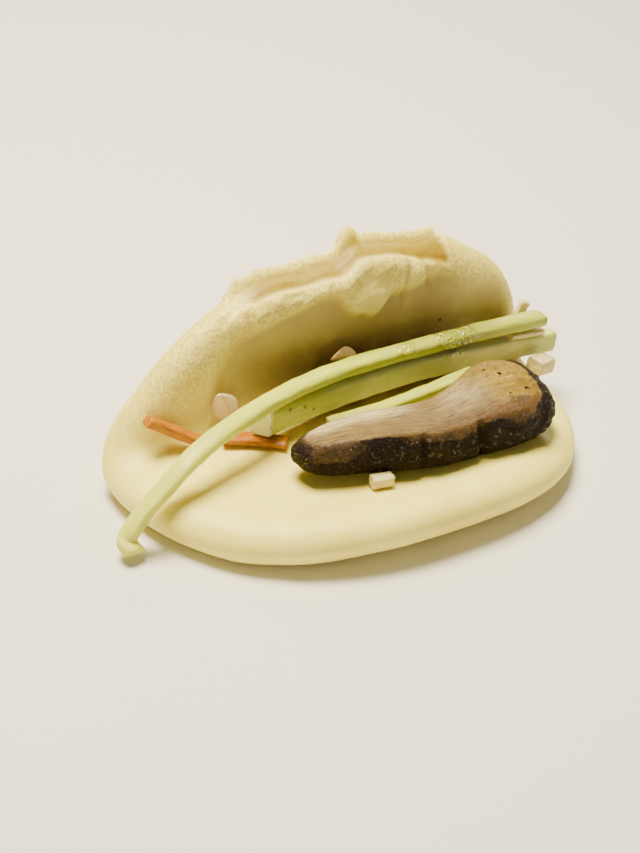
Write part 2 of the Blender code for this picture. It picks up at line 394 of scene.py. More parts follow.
def flap_relief(u, v, from_rim):
    """How far the standing flap's skin is proud of the smooth bun, and how far inside the ridge it is."""
    band = smooth(u, -27, -22) * (1 - smooth(u, 33.8, 35.0))
    groove = between(u, GROOVE)
    foot = between(u, RIDGE_FOOT)
    rough = lumps(u, v, from_rim, 4.0)
    fine = lumps(u, v, from_rim, 1.6)
    # The outer skin swells behind the lip, and the lip is a thin uneven bead on it.
    proud = band * 1.5 * hump(from_rim, 2.6, 2.6)
    proud += band * (0.6 + 0.5 * fine) * hump(from_rim, 1.2, 0.6)
    # The bare ledge between the lip and the ridge lies lower than both.
    ledge = smooth(from_rim, groove - 1.6, groove + 0.6) * (1 - smooth(from_rim, -0.4, 0.8))
    proud -= band * (1.3 + 0.2 * rough) * ledge
    # The swollen ridge, and inside it one wide hollow with a soft edge.
    along_ridge = smooth(u, -44, -26) * (1 - smooth(u, 18, 30))
    proud += (0.9 + 0.6 * rough) * along_ridge * hump(from_rim, groove - 3.6, 2.8)
    spread = 1.3 + 3.4 * (1 - smooth(u, -36, -16)) + 1.6 * smooth(u, 34, 42)
    inside = smooth(foot - from_rim, -1.4 * spread, 2.0 * spread)
    depth = 2.3 - 1.2 * smooth(u, 24, 40)
    proud -= depth * inside * smooth(v, 8, 18)
    # A lobe of the ridge that sags into the hollow, then the torn peak of the lip.
    proud += 0.9 * hump(u, 10, 5) * hump(from_rim, -19.0, 4.5)
    peak = smooth(u, PEAK_PLACE - 4.6, PEAK_PLACE - 1.2) * (1 - smooth(u, PEAK_PLACE + 1.4, PEAK_PLACE + 2.4))
    proud += (2.3 + 0.6 * fine) * peak * hump(from_rim, 0.8, 1.7)
    # A tooth at the lip's left end, a knuckle on the ridge, and thin layers in the torn skin.
    proud += 0.8 * hump(u, -21.4, 1.2) * hump(from_rim, 1.0, 2.0)
    proud += 0.7 * hump(u, 25.1, 1.9) * hump(from_rim, -12.5, 4.0)
    proud += 0.25 * hump(u, 28, 5) * math.sin(5.0 * from_rim) * hump(from_rim, -1.8, 1.6)
    for place, slant, width, deep, middle, reach in WRINKLES:
        proud -= deep * hump(u, place + slant * (from_rim - middle), width) * hump(from_rim, middle, reach)
    knobs = along_ridge * smooth(from_rim, foot - 1, foot + 2) * (1 - ledge)
    proud += knobs * (0.16 * fine + 0.12 * lumps(u, v, from_rim + 9, 2.6))
    return proud, inside


def skin_relief(u, v, from_rim):
    """The whole skin: the flap's marks, and faint swellings everywhere."""
    proud, inside = flap_relief(u, v, from_rim) if v > 0 and from_rim < 9 else (0.0, 0.0)
    proud *= smooth(v, 0, 6)
    proud += 0.22 * lumps(u, v, 0.3 * from_rim, 13.0)
    proud += 0.05 * lumps(u, v, from_rim, 2.2)
    return proud, inside * smooth(v, 0, 6)


def rolled(point):
    """A point of the unit ball moved to the rolled dough, with its distance from the rim."""
    radius, height, from_rim, out, up = pressed(
        point, HALF_WIDTH, HALF_THICKNESS, RIM_DEPTH, RING_CROWDING
    )
    cx, cy = direction(point)
    if cy > 0:
        length, power = BACK_LENGTH, BACK_RIGHT_POWER if cx > 0 else BACK_LEFT_POWER
    else:
        length, power = FRONT_LENGTH, FRONT_RIGHT_POWER if cx > 0 else FRONT_LEFT_POWER
    corner = (abs(cx) ** power + abs(cy) ** power) ** (-1 / power)
    u, v = radius * corner * cx, radius * corner * cy * length / HALF_WIDTH
    v -= between(u, BACK_CUT) * smooth(v, 10, 40)
    proud, inside = skin_relief(u, v, from_rim)
    place = (u + proud * out * cx, v + proud * out * cy, height + proud * up)
    return place, from_rim, inside


# %% [markdown]
# ### Steamed dough
#
# Bao dough is white wheat flour with a little sugar, so it steams to a warm cream, with a tight matt skin
# that shines only a little. Tiny closed bubbles show as darker specks where the skin is stretched over the
# crest. The ledge below the lip has no skin and is yellower. The inside of the fold has taken up sauce and
# fat from the filling, which stains it yellow-brown; painted shade darkens it further in the hollow and low
# down in the bend of the fold.

# %% The dough's material
# Skin pores are about 0.5 mm across, and groups of them make a slightly coarser mottling.
PORE_MM = 0.5
MOTTLE_MM = 0.8
STAIN_MM = 9.0


def spot(tree, place_mm, at, size_mm, soft_mm):
    """1 inside a round mark on the skin and 0 outside it."""
    away = node(tree, "ShaderNodeVectorMath", {"operation": "DISTANCE"}, i0=place_mm, i1=at + TO_CENTRE)
    return ramp(tree, away.outputs["Value"], size_mm - soft_mm, size_mm + soft_mm, 1.0, 0.0)


SAUCE_SPOT = Vector((31.8, 6.0, 41.5))
DARK_SPECK = Vector((32.9, 3.4, 24.4))
PITS = (Vector((-8.0, 5.5, 42.6)), Vector((-4.7, 5.7, 42.9)), Vector((-26.8, 5.1, 39.1)))


def steamed_dough():
    material, tree, shader = new_material(
        "steamed wheat dough",
        Roughness=0.45,
        IOR=1.4,
        Subsurface_Weight=0.3,
        Subsurface_Radius=(1.0, 0.62, 0.3),
        Subsurface_Scale=1.5 * MM,
    )
    place = node(tree, "ShaderNodeTexCoord").outputs["Object"]
    in_mm = node(tree, "ShaderNodeVectorMath", {"operation": "SCALE"}, i0=place, Scale=1000.0).outputs[0]
    mottle = noise_of(tree, place, MOTTLE_MM, 3.0, 0.6, unit=1000)
    pores = noise_of(tree, place, PORE_MM, 2.0, 0.6, unit=1000)
    patches = noise_of(tree, place, STAIN_MM, 3.0, 0.5, unit=1000)
    inside = attribute(tree, "inside")
    colour = mix_colour(tree, ramp(tree, patches, 0.3, 0.7), "#FAEE7E", "#F3E26C")
    open_skin = attribute(tree, "open_skin")
    speckled = calculate(tree, "MULTIPLY", ramp(tree, mottle, 0.38, 0.60, 0.8, 0.0), open_skin)
    colour = mix_colour(tree, speckled, colour, "#CEB860")
    dotted = calculate(tree, "MULTIPLY", ramp(tree, pores, 0.60, 0.72, 0.0, 0.7), open_skin)
    colour = mix_colour(tree, dotted, colour, "#B8A25A")
    # Sauce stain mixed with painted shade, in the hollow, the bend of the fold and low on the right.
    stain_and_shade = calculate(tree, "MULTIPLY", inside, ramp(tree, patches, 0.25, 0.7, 0.75, 1.0))
    colour = mix_colour(tree, stain_and_shade, colour, "#CAB062")
    # Painted shade: the darkest brown, low in the bend of the fold.
    deep = calculate(tree, "MULTIPLY", attribute(tree, "deep"), ramp(tree, patches, 0.3, 0.65, 0.75, 1.0))
    colour = mix_colour(tree, deep, colour, "#62461A")
    groove = attribute(tree, "groove")
    colour = mix_colour(tree, calculate(tree, "MULTIPLY", groove, 0.95), colour, "#967E00")
    colour = mix_colour(tree, spot(tree, in_mm, SAUCE_SPOT, 1.7, 1.3), colour, "#B48220")
    colour = mix_colour(tree, spot(tree, in_mm, DARK_SPECK, 0.4, 0.2), colour, "#3A2C12")
    hollows = None
    # The pits are small hollows, and their darker colour is painted shade in them.
    for at in PITS:
        pit = spot(tree, in_mm, at, 0.45, 0.3)
        colour = mix_colour(tree, calculate(tree, "MULTIPLY", pit, 0.8), colour, "#937C3E")
        hollows = pit if hollows is None else calculate(tree, "MAXIMUM", hollows, pit)
    tree.links.new(colour, shader.inputs["Base Color"])
    depth = calculate(tree, "SUBTRACT", 1.0, hollows)
    bump(tree, shader, [(calculate(tree, "MULTIPLY", mottle, open_skin), 0.12), (pores, 0.05), (depth, 0.4)])
    return material


# %% Make the bun
def make_bun():
    bm = ball(BUN_SEGMENTS, BUN_RINGS)
    notes = {"inside": [], "deep": [], "groove": [], "open_skin": []}
    for vert in bm.verts:
        (u, v, height), from_rim, inside = rolled(vert.co)
        vert.co = folded(u, v, height)
        # Sauce stain and painted shade fill the hollow and the bend of the fold, darkest low down on the
        # right, and the deep brown low in the bend is painted shade.
        facing_in = smooth(-from_rim, 4, 9)
        low = 1 - smooth(vert.co.z, 16, 38)
        along = smooth(u, -30, 2) * (1 - 0.4 * smooth(u, 25, 50))
        low_right = facing_in * smooth(u, 34, 44) * (1 - smooth(vert.co.z, 27, 37)) * smooth(v, 6, 12)
        stained_and_shaded = max(inside, facing_in * hump(v, 2, 9), low_right)
        notes["inside"].append(stained_and_shaded * (0.12 + 0.88 * smooth(u, -40, -20)))
        notes["deep"].append(facing_in * low * along * smooth(v, -12, 2))
        # The ledge is bare yellow crumb, and the crest beside it is open, speckled skin.
        band = smooth(u, -24, -18) * (1 - smooth(u, 33.8, 34.8)) if v > 8 else 0.0
        groove = between(u, GROOVE)
        ledge = smooth(from_rim, groove - 1.4, groove + 0.4) * (1 - smooth(from_rim, -0.6, 0.6))
        notes["groove"].append(band * ledge)
        crest = smooth(v, 5, 25) * smooth(from_rim, -24, -10) * (1 - smooth(from_rim, 3, 12))
        notes["open_skin"].append((0.15 + 0.85 * crest) * (1 - 0.7 * stained_and_shaded))
    finish_piece("steamed_bun", bm, notes, steamed_dough(), "bun")


make_bun()

# %% [markdown]
# ## The pork
#
# Pork belly is braised whole in soy and spices until its fat turns clear amber, sliced across, and glazed.
# The slice has three parts to see: lean meat whose fibres run lengthwise, a swollen cap of fat at one end,
# and a dark crust where the outside caught. It is pressed from a ball as the bun was, because a slice with
# a rounded edge is the same shape, only narrower and lumpier.

# %% The pork's sizes
PORK_HALF_LENGTH = 34.6
PORK_HALF_WIDTH = 11.0
PORK_HALF_THICKNESS = 5.0
PORK_RIM = 2.6
PORK_SWELLING = 2.8
# 1 rounds the upper edge of the slice like a ball's, and 0 would square it.
CUT_EDGE = 0.75
PORK_PLACE = Vector((10.0, -24.6, 16.2))
PORK_HEADING = math.radians(-2)
PORK_TILT = math.radians(2)
PORK_TWIST = math.radians(9)
PORK_SEGMENTS = 420
PORK_RINGS = 150


def pork_outline(cx, cy, radius):
    """A point of the round cake moved to the slice's outline: along and across, before its bend."""
    power = 2.9 if cx > 0 else 2.6
    corner = (abs(cx) ** power + abs(cy) ** power) ** (-1 / power)
    along = radius / PORK_HALF_WIDTH * corner * cx * PORK_HALF_LENGTH
    across = radius * corner * cy
    return along, across * (0.74 + 0.52 * smooth(along, 4, 32))


def pork_crust(along, across, height, out):
    """How far the rim stands proud: knobs of burnt skin, and two notches where the slice shrank."""
    front = smooth(-across, 2, 8)
    crust = 0.55 * lumps(along, 0.4 * across, 0.5 * height, 3.4)
    crust -= 1.2 * hump(along, -6.5, 1.1) * front
    crust -= 1.9 * hump(along + 0.25 * height, 10, 1.3) * front
    crust *= max(out, 0.25 * smooth(abs(across), 5, 10))
    burnt = smooth(along, 14, 26)
    crust += out * (0.3 + 0.3 * burnt) * lumps(along, across, height, 1.5, 3)
    return crust


def pork_place(along, across, height):
    """A point of the straight slice moved to where the slice lies."""
    across -= 3.6 * hump(along, 0, 16)
    left = smooth(-along, -14, 22)
    tilt = PORK_TILT + PORK_TWIST * left
    y = across * math.cos(tilt) + height * math.sin(tilt)
    z = height * math.cos(tilt) - across * math.sin(tilt) + 0.7 * left
    turned_x = along * math.cos(PORK_HEADING) - y * math.sin(PORK_HEADING)
    turned_y = along * math.sin(PORK_HEADING) + y * math.cos(PORK_HEADING)
    return PORK_PLACE + Vector((turned_x, turned_y, z))


# %% [markdown]
# ### Braised pork belly
#
# Three colours tell the slice apart: beige-brown lean meat, amber fat that light passes through, and a
# near-black crust. The sauce is a sticky film that stands in small beads on the browned parts, so a clear
# coat shines there on top of a rougher meat. The fibres are noise stretched ten times along the slice.

# %% The pork's material
FIBRE_MM = 0.55
CRUMB_MM = 0.9
BLOTCH_MM = 5.0
BEAD_MM = 0.7


def braised_pork():
    material, tree, shader = new_material(
        "soy braised pork belly",
        IOR=1.4,
        Coat_Roughness=0.1,
        Subsurface_Weight=0.06,
        Subsurface_Radius=(1.0, 0.45, 0.2),
        Subsurface_Scale=1.2 * MM,
    )
    place = attribute(tree, "place", "Vector")
    fibres = noise_of(tree, place, FIBRE_MM, 4.0, 0.6, stretch=(0.1, 1, 1))
    crumbs = noise_of(tree, place, CRUMB_MM, 4.0, 0.7)
    blotches = noise_of(tree, place, BLOTCH_MM, 3.0, 0.55, stretch=(0.5, 1, 1))
    lean = mix_colour(tree, ramp(tree, fibres, 0.30, 0.70), "#4C3816", "#7E6838")
    lean = mix_colour(tree, ramp(tree, blotches, 0.45, 0.7, 0.0, 0.5), lean, "#7C5E26")
    pale = mix_colour(tree, ramp(tree, fibres, 0.35, 0.65), "#9A8458", "#D2C69C")
    colour = mix_colour(tree, attribute(tree, "pale"), lean, pale)
    fat = mix_colour(tree, ramp(tree, blotches, 0.35, 0.65), "#725A04", "#967C1E")
    fat = mix_colour(tree, ramp(tree, crumbs, 0.48, 0.66, 0.0, 0.75), fat, "#5A400A")
    fat_share = attribute(tree, "fat")
    colour = mix_colour(tree, fat_share, colour, fat)
    worn = calculate(tree, "MULTIPLY", calculate(tree, "SUBTRACT", crumbs, 0.5), 0.7)
    browned = ramp(tree, calculate(tree, "ADD", attribute(tree, "browned"), worn), 0.15, 0.85)
    brown = mix_colour(tree, ramp(tree, blotches, 0.35, 0.7), "#3E2606", "#5E4010")
    colour = mix_colour(tree, browned, colour, brown)
    burnt = ramp(tree, calculate(tree, "ADD", attribute(tree, "burnt"), worn), 0.3, 0.75)
    black = mix_colour(tree, ramp(tree, crumbs, 0.45, 0.75), "#0F0505", "#2A1009")
    colour = mix_colour(tree, burnt, colour, black)
    tree.links.new(colour, shader.inputs["Base Color"])
    beads = noise_of(tree, place, BEAD_MM, 2.0, 0.5)
    sticky = calculate(tree, "MULTIPLY", ramp(tree, beads, 0.58, 0.66, 0.0, 1.0), browned)
    tree.links.new(sticky, shader.inputs["Coat Weight"])
    tree.links.new(ramp(tree, crumbs, 0.3, 0.7, 0.45, 0.7), shader.inputs["Roughness"])
    rugged = calculate(tree, "MULTIPLY", crumbs, calculate(tree, "ADD", burnt, 0.15))
    strands = calculate(tree, "MULTIPLY", fibres, calculate(tree, "SUBTRACT", 1.0, fat_share))
    tree.links.new(ramp(tree, burnt, 0.0, 1.0, 0.5, 0.2), shader.inputs["Specular IOR Level"])
    bump(tree, shader, [(strands, 0.12), (rugged, 0.6), (sticky, 0.28)])
    return material


# %% Make the pork
# Each burnt speck: its place along and across the slice, and its size.
SPECKS = ((22.0, 3.0, 0.8), (26.5, -3.0, 0.7), (19.0, 5.5, 0.45), (18.5, 10.0, 0.5), (21.0, -3.5, 0.4))


def pork_colours(along, across, height, out, up):
    """How pale, fatty, browned and burnt the slice is at a point of the straight slice."""
    ragged = lumps(along, across, height, 3.0)
    upward = max(up, 0)
    # Two pale streaks of fat between the muscles: one at the left, one before the cap.
    pale = 0.9 * upward * hump(across - 0.10 * along, 5.6, 2.6) * (1 - smooth(along, -12, 2))
    pale += 0.5 * upward * smooth(along, 0, 12) * hump(across, 3.0, 3.5) * (1 - smooth(along, 18, 24))
    fat = upward * smooth(along + 0.8 * across, 8, 22)
    reach = smooth(along, -26, -14) * (0.45 + 0.55 * smooth(along, -4, 8))
    # The browning creeps up over the front and right edges, and covers the sides and the underside.
    front_rim = smooth(-across - 2.0 * smooth(along, 2, 22) - 1.5 * ragged, -0.5, 6.5) * reach
    right_rim = smooth(along + 1.5 * ragged, 26, 34)
    side = smooth(out, 0.25, 0.75)
    browned = max(upward * max(0.9 * front_rim, right_rim), side, smooth(-up, 0.0, 0.3))
    browned = max(browned, 0.55 * smooth(-along + 2 * ragged, 24, 32))
    # Where the glow is, the side is amber and not yet burnt.
    top_band = smooth(height + 0.8 * ragged, 1.2, 3.4)
    glow = 0.8 * top_band * (1 - smooth(along, 8, 14)) * smooth(along, -16, -8)
    glow = max(glow, 0.8 * smooth(-along + 3 * ragged, 17, 25) * (1 - 0.5 * smooth(-along, 30, 34)))
    glow = max(glow, 0.7 * top_band * smooth(along, 12, 18) * (1 - smooth(along, 27, 31)))
    burnt = side * (1 - 0.75 * glow) + 0.6 * smooth(-up, 0.0, 0.3)
    rim = smooth(out, 0.2, 0.55) * smooth(along + 0.35 * across, 16, 27)
    burnt = max(burnt, rim, 0.3 * smooth(-along + ragged, 31.5, 34.0))
    for at_along, at_across, size in SPECKS:
        near = math.hypot(along - at_along, across - at_across)
        burnt = max(burnt, upward * (1 - smooth(near, 0.5 * size, size)))
    return pale, fat, browned, burnt


def make_pork():
    bm = ball(PORK_SEGMENTS, PORK_RINGS)
    notes = {"place": [], "pale": [], "fat": [], "browned": [], "burnt": []}
    for vert in bm.verts:
        radius, height, from_rim, out, up = pressed(
            vert.co, PORK_HALF_WIDTH, PORK_HALF_THICKNESS, PORK_RIM, 0.8
        )
        cx, cy = direction(vert.co)
        if up > 0 and out > 0:
            edge = CUT_EDGE + (1 - CUT_EDGE) * smooth(cy, -0.2, 0.5) * (1 - smooth(cx, 0.5, 0.9))
            radius = PORK_HALF_WIDTH - PORK_RIM * (1 - out**edge)
            height = PORK_HALF_THICKNESS * up**edge
        along, across = pork_outline(cx, cy, radius)
        notes["place"].append(Vector((along, across, height)))
        pale, fat, browned, burnt = pork_colours(along, across, height, out, up)
        notes["pale"].append(pale)
        notes["fat"].append(fat)
        notes["browned"].append(browned)
        notes["burnt"].append(burnt)
        crust = pork_crust(along, across, height, out)
        dome = 1.3 * hump(along, 18, 12) - 0.8 * smooth(-along, 8, 30)
        surface = 0.25 * lumps(along * 0.35, across, 0, 2.6) + 0.08 * lumps(along * 0.2, across, 3, 0.8)
        height += (dome + surface) * max(up, 0)
        swollen = PORK_SWELLING * smooth(along, 2, 20) * smooth(across, -10, 8)
        height += swollen * smooth(height, -PORK_HALF_THICKNESS, PORK_HALF_THICKNESS)
        vert.co = pork_place(along + crust * cx, across + crust * cy, height)
    finish_piece("braised_pork", bm, notes, braised_pork(), "pork_slice")


make_pork()

# %% [markdown]
# ## Cut sticks
#
# A cook cuts cucumber, carrot and radish to matchsticks. Each starts as a cube, cut into a grid so that it
# can bend, then every slice of the grid is carried along a smooth path. The corners are rounded by a power
# curve rather than a bevel, so that one number goes from a crisp cut edge to a rounded one.

# %% A smooth path and a stick along it
def spline(points, count):
    """Evenly spaced points of a smooth curve through the given ones."""
    ends = [2 * points[0] - points[1], *points, 2 * points[-1] - points[-2]]
    fine = []
    for before, start, stop, after in zip(ends, ends[1:], ends[2:], ends[3:]):
        for i in range(24):
            t = i / 24
            bend = (2 * before - 5 * start + 4 * stop - after) * t * t
            twist = (3 * start - before - 3 * stop + after) * t**3
            fine.append((2 * start + (stop - before) * t + bend + twist) / 2)
    fine.append(points[-1])
    lengths = [0.0]
    for start, stop in zip(fine, fine[1:]):
        lengths.append(lengths[-1] + (stop - start).length)
    even = []
    index = 0
    for i in range(count + 1):
        wanted = lengths[-1] * i / count
        while index < len(fine) - 2 and lengths[index + 1] < wanted:
            index += 1
        share = (wanted - lengths[index]) / (lengths[index + 1] - lengths[index])
        even.append(fine[index].lerp(fine[index + 1], share))
    return even, lengths[-1]


def make_stick(name, node_name, path, wide, tall, material, slot, **shape):
    """shape may give power (roundness of the corners), ends (slants of the two cuts), wobble, and
    shade, a table of how much painted shade the stick has at a length along it."""
    power = shape.get("power", 5.0)
    slants = shape.get("ends", (0.0, 0.0))
    wobble = shape.get("wobble", 0.12)
    shade = shape.get("shade", ((0, 0.0), (1, 0.0)))
    wide = wide if isinstance(wide, tuple) else (wide, wide)
    tall = tall if isinstance(tall, tuple) else (tall, tall)
    points = [Vector(point) for point in path]
    stations = max(8, int(spline(points, 8)[1] / 0.7))
    line, length = spline(points, stations)
    bm = bmesh.new()
    bmesh.ops.create_cube(bm, size=2)
    across = [edge for edge in bm.edges if abs(edge.verts[0].co.x - edge.verts[1].co.x) < 1]
    bmesh.ops.subdivide_edges(bm, edges=across, cuts=9, use_grid_fill=True)
    along = [edge for edge in bm.edges if abs(edge.verts[0].co.x - edge.verts[1].co.x) > 1]
    bmesh.ops.subdivide_edges(bm, edges=along, cuts=stations - 1, use_grid_fill=True)
    notes = {"place": [], "shade": []}
    for vert in bm.verts:
        a, b = vert.co.y, vert.co.z
        index = round((vert.co.x + 1) / 2 * stations)
        share = index / stations
        tangent = (line[min(index + 1, stations)] - line[max(index - 1, 0)]).normalized()
        side = Vector((0, 0, 1)).cross(tangent).normalized()
        up = tangent.cross(side)
        largest = max(abs(a), abs(b), 1e-6)
        reach = largest / (abs(a) ** power + abs(b) ** power + 1e-12) ** (1 / power)
        half_wide = (wide[0] + (wide[1] - wide[0]) * share) / 2
        half_tall = (tall[0] + (tall[1] - tall[0]) * share) / 2
        place = Vector((share * length, a * reach * half_wide, b * reach * half_tall))
        seed = line[0].x
        rough = wobble * lumps(place.x * 0.4 + seed, place.y, place.z, 2.0)
        end_rough = 0.25 * lumps(place.x + seed, place.y, place.z, 1.3)
        vert.co = line[index] + side * (place.y + a * rough) + up * (place.z + b * rough)
        if index == 0:
            vert.co -= tangent * (slants[0] * a + end_rough)
        if index == stations:
            vert.co += tangent * (slants[1] * a + end_rough)
        notes["place"].append(place)
        notes["shade"].append(between(share * length, shade))
    finish_piece(name, bm, notes, material, node_name)


# %% [markdown]
# ### Raw cucumber
#
# The sticks are cut from the wet middle of the cucumber: pale green-yellow flesh with faint lengthwise veins
# and a few flat seeds in clearer jelly. Where shade falls on a stick, a darker olive is painted into its
# colour. Raw flesh is mostly water, so light goes deep into it and its cut faces shine wetly in patches.

# %% The cucumber's material
# Where water stands on the long stick, and how far it reaches in millimetres.
WET_PATCHES = ((Vector((33.0, -3.8, 24.2)), 6.0), (Vector((18.0, -4.2, 24.0)), 2.6))
VEIN_MM = 0.8
SHADING_MM = 6.0
WET_MM = 1.6
FILM_MM = 1.2
# The dried end begins and is complete at these lengths along the stick.
DRIED_MM = (85.0, 115.0)
SEED_SCARS = (
    Vector((-17.5, -9.2, 19.0)),
    Vector((-12.9, -8.5, 18.1)),
    Vector((-10.0, -8.0, 16.4)),
    Vector((-12.6, -8.4, 20.2)),
)


def raw_cucumber(name, shade_colours, seeds=False):
    """shade_colours is two colours and a vein's colour: the darker olive painted where shade falls on a
    stick. The long stick is wet in two places on top, and its far end has dried paler in the open air."""
    material, tree, shader = new_material(
        name,
        IOR=1.35,
        Coat_Roughness=0.08,
        Subsurface_Weight=0.25,
        Subsurface_Radius=(0.7, 1.0, 0.25),
        Subsurface_Scale=1.2 * MM,
    )
    place = attribute(tree, "place", "Vector")
    veins = noise_of(tree, place, VEIN_MM, 3.0, 0.6, stretch=(0.08, 1, 1))
    blotches = noise_of(tree, place, SHADING_MM, 3.0, 0.5, stretch=(0.35, 1, 1))
    wet = noise_of(tree, place, WET_MM, 4.0, 0.65, stretch=(0.6, 1, 1))
    in_mm = node(tree, "ShaderNodeTexCoord").outputs["Object"]
    in_mm = node(tree, "ShaderNodeVectorMath", {"operation": "SCALE"}, i0=in_mm, Scale=1000.0).outputs[0]
    puddles = [spot(tree, in_mm, at, size, 1.5) for at, size in WET_PATCHES]
    puddle = calculate(tree, "MAXIMUM", *puddles)
    flesh = mix_colour(tree, ramp(tree, blotches, 0.3, 0.7), "#D4DC46", "#BEC838")
    flesh = mix_colour(tree, ramp(tree, veins, 0.5, 0.72, 0.0, 0.4), flesh, "#ECECA0")
    from_end = node(tree, "ShaderNodeSeparateXYZ", i0=place).outputs[0]
    flesh = mix_colour(tree, ramp(tree, from_end, *DRIED_MM, 0.0, 0.3), flesh, "#DAD070")
    # Painted shade: the darker olive, mixed in by each stick's shade table.
    painted_shade_colour = mix_colour(tree, ramp(tree, blotches, 0.3, 0.7), *shade_colours[:2])
    painted_shade_colour = mix_colour(tree, ramp(tree, veins, 0.5, 0.75, 0.0, 0.25), painted_shade_colour, shade_colours[2])
    colour = mix_colour(tree, attribute(tree, "shade"), flesh, painted_shade_colour)
    dry = calculate(tree, "SUBTRACT", 1.0, puddle)
    film = noise_of(tree, place, FILM_MM, 1.0, 0.4)
    layers = [
        (calculate(tree, "MULTIPLY", veins, dry), 0.10),
        (calculate(tree, "MULTIPLY", wet, dry), 0.14),
        (calculate(tree, "MULTIPLY", film, puddle), 1.1),
    ]
    if seeds:
        colour = mix_colour(tree, ramp(tree, from_end, 0.3, 1.6, 0.8, 0.0), colour, "#F2F0C4")
        scars = None
        for at in SEED_SCARS:
            scar = spot(tree, in_mm, at, 0.45, 0.3)
            scars = scar if scars is None else calculate(tree, "MAXIMUM", scars, scar)
        colour = mix_colour(tree, calculate(tree, "MULTIPLY", scars, 0.8), colour, "#4E4212")
    tree.links.new(colour, shader.inputs["Base Color"])
    dull = calculate(tree, "MULTIPLY", ramp(tree, wet, 0.42, 0.6, 0.3, 0.55), dry)
    tree.links.new(calculate(tree, "MAXIMUM", dull, 0.12), shader.inputs["Roughness"])
    tree.links.new(puddle, shader.inputs["Coat Weight"])
    bump(tree, shader, layers)
    return material


# %% Make the three cucumber sticks
# The colours given to each material are the darker olive painted where shade falls on its sticks.
cucumber_flesh = raw_cucumber("raw cucumber flesh", ("#A2A63E", "#90962E", "#BCC060"))
cucumber_seeds = raw_cucumber("raw cucumber with seed scars", ("#C6C290", "#B2AE78", "#D4D09C"), seeds=True)
LONG_PATH = [
    (59.4, -3.4, 22.6),
    (38, -2.8, 22.6),
    (3, -3.4, 22.4),
    (-17, -7.0, 22.4),
    (-32, -12.0, 22.2),
    (-42, -15.5, 21.0),
    (-50, -18.2, 18.2),
    (-56.5, -19.6, 13.5),
    (-61.5, -20.0, 8.5),
    (-64.5, -21.0, 4.6),
    (-63.6, -23.6, 2.6),
]
SHORT_PATH = [(-24.5, -8.8, 16.9), (-5, -5.0, 16.5), (20, -3.0, 16.5), (45, -2.6, 15.7), (64.5, -3.2, 14.9)]
STRIP_PATH = [(-8, -12.2, 13.2), (8, -12.8, 13.9), (35, -9.8, 14.1)]
# Each shade table paints shade into a stick's colour along its length, where it lies in the fold or under
# another piece.
make_stick(
    "long_cucumber",
    "cucumber_long",
    LONG_PATH,
    (5.0, 4.6),
    (3.8, 3.0),
    cucumber_flesh,
    "cucumber",
    power=2.8,
    ends=(0.8, 0.8),
    shade=((0, 0.7), (24, 1.0), (36, 0.6), (56, 0.15), (140, 0.0)),
)
make_stick(
    "short_cucumber",
    "cucumber_short",
    SHORT_PATH,
    4.2,
    (6.9, 5.8),
    cucumber_seeds,
    "cucumber",
    ends=(1.5, -0.5),
    shade=((0, 0.05), (10, 0.15), (32, 0.7), (56, 0.95), (74, 0.75), (86, 0.45)),
)
make_stick(
    "thin_cucumber",
    "cucumber_strip",
    STRIP_PATH,
    3.8,
    (4.4, 6.4),
    cucumber_flesh,
    "cucumber",
    shade=((0, 0.9), (8, 0.7), (16, 0.25), (45, 0.25)),
)

# %% [markdown]
# ### Carrot and white radish
#
# Carrot is a deep even orange whose veins run lengthwise and are a little paler. White radish is nearly
# clear, so it takes on the colours round it. Both are cut with the same knife, so the same stick makes them.

# %% The root vegetables' materials
ROOT_VEIN_MM = 0.6
ROOT_GRAIN_MM = 1.8


def raw_root(name, dark, light, sheen_depth):
    material, tree, shader = new_material(
        name,
        IOR=1.36,
        Subsurface_Weight=0.15,
        Subsurface_Radius=(1.0, 0.6, 0.3),
        Subsurface_Scale=sheen_depth * MM,
    )
    place = attribute(tree, "place", "Vector")
    veins = noise_of(tree, place, ROOT_VEIN_MM, 3.0, 0.6, stretch=(0.15, 1, 1))
    grain = noise_of(tree, place, ROOT_GRAIN_MM, 3.0, 0.5)
    colour = mix_colour(tree, ramp(tree, veins, 0.35, 0.68), dark, light)
    tree.links.new(colour, shader.inputs["Base Color"])
    tree.links.new(ramp(tree, grain, 0.35, 0.65, 0.25, 0.5), shader.inputs["Roughness"])
    bump(tree, shader, [(veins, 0.12), (grain, 0.15)])
    return material


# %% Make the carrot and radish pieces
carrot = raw_root("raw carrot", "#9E5C00", "#B67600", 0.5)
radish = raw_root("white radish", "#C6B878", "#DED09A", 2.0)
make_stick(
    "left_carrot",
    "carrot_left",
    [(-50.3, -1.2, 19.6), (-43.8, -2.2, 15.7), (-38.0, -4.8, 12.8)],
    3.2,
    2.6,
    carrot,
    "carrot",
    power=3.0,
)
make_stick(
    "right_carrot",
    "carrot_right",
    [(-32.5, -4.8, 12.4), (-25.5, -7.9, 12.1), (-19.3, -12.3, 12.1)],
    4.2,
    1.9,
    carrot,
    "carrot",
    power=3.0,
)
# Each radish piece: its name, the solid it stands for, its path, width, height and wobble.
RADISH_PIECES = (
    ("radish_block", "radish_cube", [(55.0, -9.9, 12.9), (60.0, -8.9, 12.5)], 5.0, 4.4, 0.12),
    ("radish_on_end", "radish_back", [(54.4, 0.33, 19.8), (57.3, 0.53, 25.8)], 1.6, 3.2, 0.12),
    ("radish_slip", "radish_between", [(50, -3.8, 19.7), (60.5, -3.8, 19.1)], 3.0, 1.4, 0.05),
    ("radish_at_rim", "radish_rim", [(-10.0, -34.0, 13.0), (-5.0, -34.8, 13.0)], 3.2, 2.6, 0.12),
)
for name, node_name, path, wide, tall, wobble in RADISH_PIECES:
    make_stick(name, node_name, path, wide, tall, radish, "radish", wobble=wobble)

